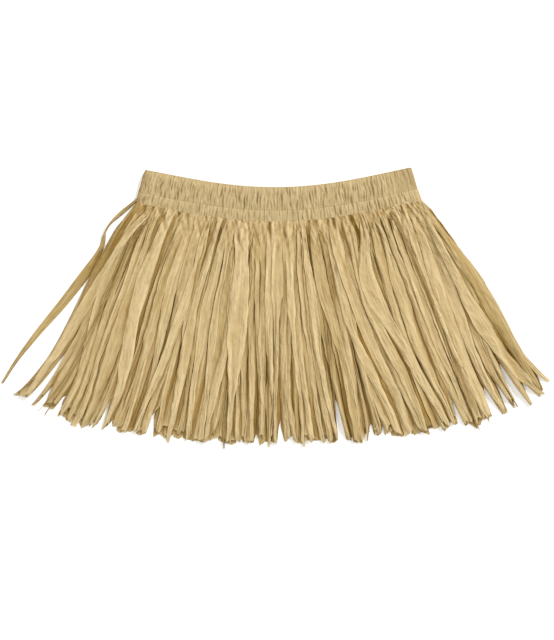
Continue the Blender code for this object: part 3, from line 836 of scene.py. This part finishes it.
# ----------
# The slit cloth, front outer layer. The front of the outer sheet of nonwoven, gathered in
# the header and slit by hand into uneven strips. Each has a row, the lowest one first.
FRONT_STRIPS = (  # (tone, how far down its slit begins, places), each place a (down, left edge, right edge), in hundredths of the way down and across the fan. A tone is partly the strip's own shade and partly painted shade where it lies low or in another's shadow; below 0 it is painted shade.
    # (down, left edge, right edge), in hundredths of the way down and across the fan
    # The outermost strips at the sides, in painted shade.
    (-0.2, 3, (0, -0.6, 3.5), (10, -0.1, 3.9), (40, 0, 2.4), (60, 0.8, 2.4)),
    (-0.2, 3, (0, 99.4, 100.6), (12, 98.1, 98.9), (30, 98, 98.9), (45, 98.6, 99.6)),
    (-0.2, 3, (0, 97, 99), (20, 95.9, 97.4), (40, 96.2, 98.2), (75, 98.6, 99.5)),
    # Two dark strips laid in valleys between others: painted shade.
    (-0.4, 46, (46, 74.2, 75.6), (57, 75.7, 77), (64, 77, 78.5), (72, 77.5, 79), (97, 77.8, 79.2)),
    (-0.4, 36, (36, 67.8, 68.9), (55, 68.2, 70.2), (85, 71.7, 72.8)),
    (0.5, 40, (40, 3.4, 4.6), (60, 4.2, 5.4), (80, 3.7, 6.9), (90, 4.3, 6.9), (96, 5.2, 6.9)),
    (0.6, 30, (30, 3, 4), (48, 3, 3.9), (62, 3.1, 4.5), (80, 2.7, 3.6), (99, 3.1, 3.8)),
    (0.4, 50, (50, 12.6, 13.6), (68, 13.4, 14.2), (98, 13.6, 14.6)),
    (0.5, 55, (55, 13.4, 14.4), (80, 14.3, 15.3), (100, 14.7, 15.4)),
    (0.3, 3, (0, 30, 30.8), (40, 29, 29.9), (50, 29, 30.2), (90, 30.5, 31.3), (98, 30.4, 31.2)),
    (0.4, 50, (50, 36.9, 38.2), (85, 36.9, 38.3), (95, 36.9, 37.7)),
    (0.7, 40, (40, 40.6, 41.8), (70, 40.5, 41.4), (98, 41.6, 42.6)),
    (0.5, 40, (40, 41.8, 43), (66, 41.6, 42.8), (97, 42.8, 43.8)),
    (0.6, 24, (0, 42.3, 43.5), (25, 42.7, 43.6), (40, 42.3, 43.3), (70, 43.5, 44.8), (98, 44.4, 45.2)),
    (0.5, 20, (0, 43.4, 45), (30, 43.5, 44.7), (80, 45.8, 46.5), (92, 46, 46.8)),
    (0.7, 20, (0, 44.9, 47), (15, 44.8, 47), (40, 45.4, 46.8), (50, 45.2, 46.5), (80, 46.3, 47.3),
     (96, 46.2, 47)),
    (-0.1, 20, (20, 52.8, 54.2), (50, 52.8, 53.9), (65, 53, 54.2), (98, 52.6, 53.6)),
    (0.7, 22, (0, 52.3, 54.2), (20, 52.2, 54), (30, 52.2, 53.4), (40, 51.6, 52.8), (70, 51.2, 52.6),
     (80, 51.5, 52.6), (98, 52.2, 53.4)),
    (0.7, 26, (0, 50.7, 52.4), (25, 50.7, 52), (30, 50.6, 52.6), (50, 49.7, 51.6), (70, 49.9, 51.2),
     (98, 51.1, 52.2)),
    (0.8, 50, (50, 47.4, 48.6), (85, 47.3, 48.4), (101, 47.9, 48.4)),
    (0.9, 40, (0, 46.9, 49), (52, 46.8, 48.3), (80, 48.5, 49.1), (95, 48.4, 49.1)),
    (0.6, 40, (40, 66.4, 67.8), (80, 68.3, 70.2), (97, 70.2, 71.4)),
    (0.5, 50, (50, 65.9, 66.8), (92, 67, 67.8), (100, 66.6, 67.6)),
    (0.6, 55, (55, 67.4, 68.4), (80, 68.1, 69.2), (98, 68.9, 69.9)),
    (0.2, 15, (15, 60, 60.8), (33, 60.2, 61), (50, 60.4, 62), (80, 61.9, 62.8), (99, 62.8, 63.8)),
    (0.6, 50, (50, 94.4, 95.6), (74, 94.9, 96), (99, 95, 95.8)),
    (0.5, 55, (55, 96, 97.2), (85, 96.8, 97.9), (100, 97, 97.9)),
    (0.8, 50, (0, 96.8, 97.8), (20, 96.4, 97.6), (35, 97.4, 98.8), (50, 99, 100.4), (65, 99.6, 100.8),
     (82, 99.8, 100.6), (97, 100.4, 102)),
    (0.6, 50, (50, 24.4, 25.6), (70, 24.2, 25.3), (90, 23.3, 24.7), (99, 23.6, 24.7)),
    (0.6, 45, (45, 25.6, 26.8), (80, 25.4, 26.5), (98, 26.5, 27.5)),
    (0.7, 3, (5, 17.6, 18.4), (15, 16.9, 18), (40, 16.2, 17.7), (70, 17.2, 17.9), (98, 17.8, 18.8)),
    (0.8, 3, (3, 18.9, 19.9), (18, 17.6, 19.2), (30, 17.3, 19.2), (50, 18, 20), (70, 19.1, 20.2),
     (99, 20, 21.1)),
    (0.3, 60, (60, 18.2, 19.2), (75, 18.6, 19.6), (98, 18.6, 19.8)),
    (0.5, 12, (12, 6.2, 7.4), (17, 5.5, 6.5), (32, 6.3, 7.4), (40, 6.1, 7.2), (70, 7.7, 8.9),
     (80, 8.6, 9.9), (99, 9.6, 10.4)),
    (0.7, 3, (3, 6.6, 7.6), (30, 8.4, 9.9), (70, 9, 10), (90, 10.6, 11.8), (101, 11, 12)),
    (0.8, 6, (6, 6.3, 7.4), (19, 4.2, 5), (40, 3.5, 5.6), (50, 3.9, 6.1), (80, 7.1, 8.4),
     (90, 7.4, 9), (98, 8, 8.8)),
    (0.5, 3, (3, 7.9, 8.9), (20, 9.7, 11.2), (40, 10, 11.7), (60, 10.1, 13.1), (101, 12.6, 13.6)),
    (0.9, 8, (0, 20.6, 22), (10, 19.9, 22.6), (30, 19.4, 22.2), (70, 21.6, 22.7), (98, 22.4, 23.3)),
    (0.8, 8, (0, 22.6, 24), (10, 22.4, 24.8), (30, 22.6, 25.2), (60, 23.6, 24.6)),
    (0.5, 3, (0, 25.2, 26.4), (10, 25.2, 27.4), (52, 26.6, 27.3), (60, 27.2, 28)),
    (0.8, 3, (0, 32.6, 33.6), (10, 31.2, 33.2), (40, 30.1, 32.6), (70, 30.9, 32.2), (100, 32.2, 33.2)),
    (0.5, 10, (2, 34.2, 35.4), (20, 34.8, 36.5), (40, 34.5, 36.6), (70, 35.2, 37.4), (99, 35.8, 37)),
    (0.7, 45, (45, 37, 38.4), (63, 36.4, 38), (70, 35.5, 37.6), (90, 35.3, 36.5), (98, 35.6, 36.6)),
    (0.8, 6, (0, 38.8, 41.2), (8, 39, 41.4), (16, 38.8, 40.6), (36, 38.6, 40)),
    (0.8, 20, (0, 54.1, 56.2), (25, 53.9, 55.2), (60, 54, 55.6), (99, 55.8, 56.8)),
    (0.9, 45, (45, 52.9, 53.8), (80, 54.1, 54.9), (101, 54.2, 54.9)),
    (0.8, 4, (5, 57, 58), (10, 56.2, 57.9), (20, 55.5, 57.9), (50, 56.3, 57.7), (60, 56.9, 58.2),
     (80, 57, 58), (99, 57.6, 58.8)),
    (0.6, 50, (50, 57.6, 58.8), (72, 58.1, 59.6), (99, 59.3, 60.4)),
    (0.7, 10, (0, 62.9, 65), (70, 65.2, 66.7), (100, 65.2, 66.2)),
    (-0.2, 62, (62, 63, 64), (75, 63.2, 64.4), (101, 63.8, 64.8)),
    (0.8, 12, (0, 65.1, 66.6), (20, 65.5, 66.8), (40, 66, 67.9), (50, 66.6, 68), (70, 69, 71.1),
     (90, 71.6, 73), (98, 71.9, 73.2)),
    (0.8, 22, (0, 69, 70.8), (30, 69.8, 72), (60, 72.7, 76.4), (70, 73.9, 76.6), (90, 76.2, 78),
     (99, 76.4, 77.8)),
    (0.6, 3, (0, 71.8, 73.6), (8, 71.9, 74.4), (26, 71.4, 73), (40, 71.6, 73.2), (60, 74, 76.4),
     (72, 75.6, 77.8), (92, 77.2, 78.3), (99, 77.2, 78.2)),
    (0.3, 10, (10, 76.4, 78.4), (20, 75.8, 77.2), (30, 75.7, 77.2), (55, 77, 78.2)),
    (0.6, 66, (66, 78.3, 78.9), (90, 79.1, 81.4), (98, 79.3, 81.6)),
    (0.4, 3, (4, 80.6, 81.8), (12, 79.2, 80.8), (20, 78.3, 80.5), (40, 77.6, 79.2), (50, 77.8, 79.5),
     (70, 79.3, 80.6), (80, 80.3, 81.6), (99, 80.4, 81.6)),
    (0.7, 3, (4, 85.2, 86.6), (10, 83.6, 85.2), (20, 82.8, 84.2), (50, 83.2, 85.2), (60, 83.3, 85.1),
     (88, 85, 86.4), (98, 85.1, 86.3)),
    (0.8, 3, (3, 87.6, 89), (10, 85.8, 87.3), (20, 85, 86.5), (30, 85, 86.1), (40, 84.7, 86.3),
     (60, 85.1, 87.2), (80, 86.2, 87.9), (98, 86.3, 87.6)),
    (0.6, 60, (60, 88.6, 89.6), (75, 88.7, 89.9), (99, 88.4, 89.3)),
    (0.8, 12, (4, 96, 97.4), (12, 94.6, 96.4), (50, 93.4, 95), (80, 93.3, 94.9), (88, 94, 94.9),
     (96, 94.1, 94.8)),
    (1, 12, (4, 94.2, 96.2), (12, 92.6, 95), (40, 91.2, 94), (70, 91.2, 93.1), (100, 92.3, 93)),
    (0.9, 10, (4, 92.4, 94.4), (10, 91, 93.4), (40, 88.4, 91.5), (50, 88.2, 91.2), (88, 88.9, 91.1),
     (98, 89.3, 90.6)),
    (1, 3, (4, 89.2, 90.8), (20, 86.9, 88.9), (30, 86.6, 88.4), (80, 87.5, 89.3), (98, 87.4, 88.6)),
    (0.9, 3, (4, 91.6, 93.2), (20, 88.6, 90), (30, 87.9, 89), (40, 87.8, 88.5), (75, 88.6, 89.4)),
    (0, 4, (2, 98.6, 99.8), (10, 96.9, 98.5), (20, 97, 98.5), (60, 98.5, 100.7), (80, 99.1, 100.4),
     (98, 99.1, 99.7)),
    # Thin curls at the hem, in painted shade.
    (-0.3, 3, (84, 0.6, 0.9), (97.5, -0.3, 0), (99.6, -0.7, -0.5)),
    (-0.3, 3, (90, 5.3, 5.5), (95, 5.2, 5.4), (101.3, 4.8, 5)),
    (-0.3, 3, (92, 5.9, 6.1), (97, 6.1, 6.3), (101.8, 6.4, 6.6)),
    (-0.3, 3, (90, 38.8, 39.1), (97, 39.1, 39.4), (102.5, 39.6, 39.9)),
    (-0.3, 3, (88, 61.4, 61.7), (94, 61.2, 61.5), (98.5, 60.8, 61.1)),
    (-0.3, 3, (90, 87.6, 87.9), (97, 87.3, 87.6), (101.5, 86.9, 87.2)),
)


EDGE_WAVES, EDGE_ROUGHNESS = (2, 14), 0.006  # along a strip, and in shares of the hem


def ragged_edge(along, draw):
    """Small sideways waves of a strip's torn edge, in shares of the way across."""
    turns_along = [draw.uniform(*EDGE_WAVES) for _ in range(4)]
    return sum(
        EDGE_ROUGHNESS / (turns + 8) * np.sin(math.tau * turns * along + draw.uniform(0, math.tau))
        for turns in turns_along
    )


PLACED_GATHER = 1.3 * MM  # how high the header's gathers run on into these strips
PLACED_HELD = 10 * MM, 36 * MM  # how far down the header holds one up
STRIP_GRID, SHRED_GRID = (12, 54), (4, 30)  # faces across and along a strip or a shred
WIDEST_SHRED = 0.004  # at the hem, as a share of it
STACKED = 0.004 * MM  # how much higher each strip's root lies than the last
ROOTS_JOINED = 0.004  # how far roots overlap, in shares of the way across
SIDES_HIDDEN = 0.0018  # how far strips do, down to where they part


def placed_strips(strips, root_height, seed):
    """The grids of strips that lie as their rows say."""
    draw = random.Random(seed)
    grids = []
    for number, (_, opens, *places) in enumerate(strips):
        down, left, right = np.array(places).T / 100
        columns, steps = STRIP_GRID if right[-1] - left[-1] > WIDEST_SHRED else SHRED_GRID
        across = np.linspace(-1, 1, columns + 1)[None]
        rows = np.linspace(0, 1, steps + 1)[:, None] ** 1.25  # closest at the header
        if down[0] > 0.05:  # its upper end is under the others, narrow and pressed flat
            middle, half = (left[0] + right[0]) / 2, (right[0] - left[0]) / 3
            left, right = np.append(middle - half, left), np.append(middle + half, right)
            down = np.append(0, down)
        down[0] = 0
        reach = rows * down[-1]
        slit = max(opens / 100, draw.uniform(0.015, 0.08))  # no strip is cut to its root
        spread = ROOTS_JOINED * (2 - smooth((reach - 0.03) / 0.04))
        joined = spread * (1 - smooth((reach - slit + 0.04) / 0.04))
        left, right = (
            eased(eased(np.interp(reach, down, side), (0,)), (0,)) + ragged_edge(reach, draw)
            for side in (left, right)
        )
        margin = joined + SIDES_HIDDEN * (1 - smooth((reach - 0.4) / 0.4))
        left, right = left - margin, right + margin
        length = strip_length(float(left.mean() + right.mean()) / 2)
        along = reach + cut_tip(across, draw) * rows**16 / length
        below = along * length
        edge = notched((left + right) / 2 + (right - left) / 2 * across, along, draw)
        near_header = smooth((0.14 - along) / 0.06)
        edge = edge + (np.clip(edge, *ROOTS_WITHIN) - edge) * near_header
        x, y = strip_line(edge, edge, along)
        free = smooth((along - min(opens, 20) / 100 + 0.02) / 0.05)
        root = out_of_header(below) + root_height + STACKED * number
        grids.append(laid_strip(
            x, y, across, along, edge, below, free, PLACED_GATHER, root, PLACED_HELD, draw
        ))
    return grids


front_outer = placed_strips(FRONT_STRIPS, root_height=0, seed=24)
tones = [row[0] for row in FRONT_STRIPS]
front_outer = finish_strips("front_outer_strips", front_outer, tones, "fringe_front_outer")

# ----------
# Strips of the same outer sheet that lie across the others, each at its own slant, where
# the skirt was shaken out and laid down.
CROSSING_STRIPS = (  # columns as in FRONT_STRIPS
    (0.7, 3, (0, 6.1, 7.1), (5, 5, 6.8), (10, 3.9, 5.8), (20, 2.9, 4.4), (30, 2.3, 3.6), (55, 0.3, 3),
     (80, 0, 1.5), (97, 1.1, 2)),
    (0.9, 6, (0, 11.6, 13.4), (10, 11.9, 14.4), (30, 11.4, 15), (50, 12.4, 15.2), (70, 14.3, 17.1),
     (80, 15.7, 17.5), (98, 16.3, 17.4)),
    (0.8, 22, (22, 25.6, 26.2), (40, 24.6, 26.5), (50, 23.7, 25.9), (90, 21.8, 22.9),
     (98, 21.9, 22.7)),
    (0.9, 3, (2, 29.6, 30.4), (20, 28.1, 29.8), (40, 27.5, 28.8), (60, 27.2, 29.6), (101, 28.7, 29.5)),
    (0.8, 16, (8, 33.6, 34.8), (18, 33.8, 34.8), (40, 33.2, 34.3), (50, 33.1, 34.8), (80, 34.3, 35.3),
     (99, 34.4, 35.6)),
    (1, 14, (0, 35.4, 38.4), (10, 36.4, 40), (20, 37.4, 41), (30, 37.1, 41.7), (50, 37.5, 42.1),
     (80, 39.5, 40.7), (99, 39.9, 40.9)),
    (0.8, 38, (0, 48.9, 50.8), (30, 48.5, 50.6), (50, 49, 49.9), (99, 48.9, 49.6)),
    (0.9, 4, (5, 58, 58.9), (20, 57.8, 59.2), (30, 57.9, 59.9), (50, 58, 60), (60, 58.5, 59.8),
     (99, 60.8, 61.4)),
    (0.8, 20, (0, 67.2, 69), (20, 67, 69.5), (30, 67.7, 70), (60, 70.4, 72.8), (80, 73, 75.2),
     (99, 73.8, 75.4)),
    (0.5, 5, (2, 60.6, 62.2), (10, 60.3, 62.9), (30, 60.4, 63.4), (60, 63.7, 65.2), (70, 63.9, 65.6),
     (100, 64.3, 65.4)),
    (0.8, 8, (8, 82, 83), (18, 81.3, 82.4), (32, 80, 82.6), (60, 80.2, 82.8), (90, 82.8, 83.9),
     (98, 82.9, 83.8)),
    (0.9, 3, (3, 77.8, 79.2), (8, 76.6, 78.9), (20, 73.6, 76.3), (30, 72, 76), (40, 72.9, 76.8),
     (50, 75.1, 77.8), (60, 77, 79.4), (90, 81, 82.6), (98, 81.3, 82.6)),
    (0.8, 8, (4, 97.6, 99.2), (12, 95.4, 97), (20, 94.6, 96), (30, 94.4, 95.9), (50, 94.3, 96.8),
     (60, 94.7, 98), (88, 97.9, 99.2), (101, 98.9, 99.5)),
)

crossing = placed_strips(CROSSING_STRIPS, root_height=0.25 * MM, seed=25)
tones = [row[0] for row in CROSSING_STRIPS]
crossing = finish_strips("crossing_strips", crossing, tones, "fringe_crossing")

# ----------
# The strips' painted shade. Cloth that lies deep between others or in creases, and cloth just below
# the header, is painted darker and browner where shade falls, and so is cloth with a tone below 0. How
# deep each point lies is stored for their material.
PEAK_REACH, OPEN_REACH, NEAR_REACH = 2, 7, 3  # map cells
# the depths that bring on the painted shade, between strips and in creases
FULLY_DEEP, CREASE_DEEP = 15 * MM, 3 * MM
SHADE_AT_STITCHES, STITCH_REACH = 0.2, 4 * MM  # how much painted shade darkens cloth just below the header, and how far down it reaches
DEEPEST = 0.8


def spread_map(height_map, reach, mixed):
    """The map with each cell's value mixed, by this function, from those this near."""
    for axis in (0, 1):
        shifts = [np.roll(height_map, shift, axis) for shift in range(-reach, reach + 1)]
        height_map = mixed(shifts, 0)
    return height_map


open_map = spread_map(spread_map(table_map, PEAK_REACH, np.max), OPEN_REACH, np.mean)
near_map = spread_map(table_map, NEAR_REACH, np.mean)
for layer in (back_outer, back_inner, front_inner, front_outer, crossing):
    places = np.empty(len(layer.data.vertices) * 3)
    layer.data.vertices.foreach_get("co", places)
    x, y, z = places.reshape(-1, 3).T
    tone = np.empty(len(x))
    layer.data.attributes["tone"].data.foreach_get("value", tone)
    depth = (map_height(open_map, x, y) - z) / FULLY_DEEP - np.minimum(tone, 0)
    depth = depth + np.clip((map_height(near_map, x, y) + 0.2 * MM - z) / CREASE_DEEP, 0, 0.5)
    below = np.hypot(x - WAIST_MIDDLE_X, WAIST_CENTRE_Y - y) - ROOT_RADIUS
    depth = depth + SHADE_AT_STITCHES * np.exp(-abs(below) / STITCH_REACH)
    store_on_points(layer.data, "depth", np.clip(depth, 0, DEEPEST))

# ----------
# The table, the light and the camera. The skirt lies on a matt, nearly white board under
# one large soft lamp from the upper right and a weaker one from the left, and is seen
# from straight above.
TABLE_SIZE, TABLE_DROP = 8, 0.2 * MM  # just clear of the lowest cloth
bpy.ops.mesh.primitive_plane_add(size=TABLE_SIZE, location=(0, 0, -TABLE_DROP))
table = bpy.context.object
table.name = "table"
table_paint = bpy.data.materials.new("pale_table")
table_paint.use_nodes = True
table_shader = table_paint.node_tree.nodes["Principled BSDF"]
table_shader.inputs["Base Color"].default_value = linear("#F4F3F0")
table_shader.inputs["Roughness"].default_value = 0.9
table_shader.inputs["Emission Color"].default_value = linear("#FFFFFF")
table_shader.inputs["Emission Strength"].default_value = 0.2  # lit from below, a little
table.data.materials.append(table_paint)


def soft_light(name, place, size, power):
    light = bpy.data.lights.new(name, "AREA")
    light.shape = "DISK"
    light.size = size
    light.energy = power
    lamp = bpy.data.objects.new(name, light)
    lamp.location = place
    lamp.rotation_mode = "QUATERNION"
    lamp.rotation_quaternion = (-lamp.location).to_track_quat("-Z", "Y")
    bpy.context.scene.collection.objects.link(lamp)


soft_light("key_light", place=(3.3, 3.8, 3.9), size=1.2, power=310)
soft_light("fill_light", place=(-3.0, -2.0, 5.0), size=3.0, power=100)

world = bpy.data.worlds.new("soft_room")
world.use_nodes = True
world.node_tree.nodes["Background"].inputs["Color"].default_value = linear("#FFFDF7")
world.node_tree.nodes["Background"].inputs["Strength"].default_value = 0.6
bpy.context.scene.world = world
bpy.context.scene.view_settings.view_transform = "Standard"

CAMERA_HEIGHT = 4.0
VIEW_HEIGHT = 704 * MM  # from the frame's top to its bottom, on the table
VIEW_MIDDLE = 1.1 * MM, -11 * MM
camera_data = bpy.data.cameras.new("camera")
camera_data.lens = camera_data.sensor_width * CAMERA_HEIGHT / VIEW_HEIGHT
camera = bpy.data.objects.new("camera", camera_data)
camera.location = (*VIEW_MIDDLE, CAMERA_HEIGHT)
bpy.context.scene.collection.objects.link(camera)
bpy.context.scene.camera = camera
